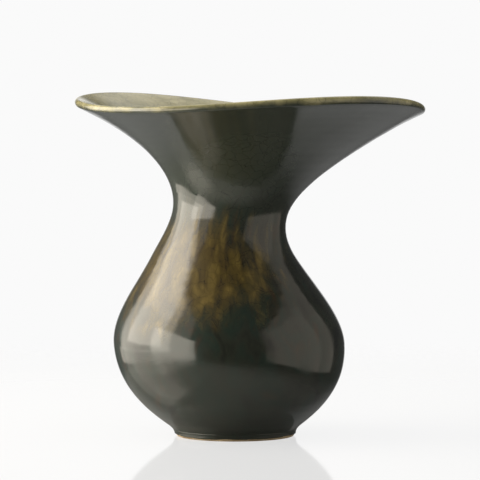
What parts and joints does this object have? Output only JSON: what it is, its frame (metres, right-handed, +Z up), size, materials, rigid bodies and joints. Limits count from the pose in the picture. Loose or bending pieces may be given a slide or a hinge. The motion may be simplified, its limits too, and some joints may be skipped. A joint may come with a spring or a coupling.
{
  "type": "faience vase",
  "caption": "Round-bellied earthenware vase on a low foot, with a leaning narrow neck, a very wide wavy trumpet mouth and a dark glossy glaze.",
  "frame": {"origin": "on the table plane under the middle of the mouth, the bottom centre of the bounding box; the foot's own centre is 10 mm towards -X", "axes": "+Z up from the table through the mouth, +X to the right of the vase seen from its front, the way the neck swings, and -Y out of its front"},
  "size_m": [0.2437, 0.2436, 0.2398],
  "materials": {
    "biscuit_clay": "matt fired earthenware, fine turning lines",
    "luting_slip": "matt fired slip",
    "olive_black_glaze": "glossy olive-black glaze, amber where it runs thin",
    "ochre_liner_glaze": "glossy olive-ochre glaze"
  },
  "bodies": {
    "root": {"foot_ring": "biscuit_clay", "foot_slip_joint": "luting_slip", "base_bowl": "biscuit_clay", "belly_slip_joint": "luting_slip", "shoulder_section": "biscuit_clay", "neck_slip_joint": "luting_slip", "flared_mouth": "biscuit_clay", "outer_glaze": "olive_black_glaze", "liner_glaze": "ochre_liner_glaze"}
  },
  "joints": []
}
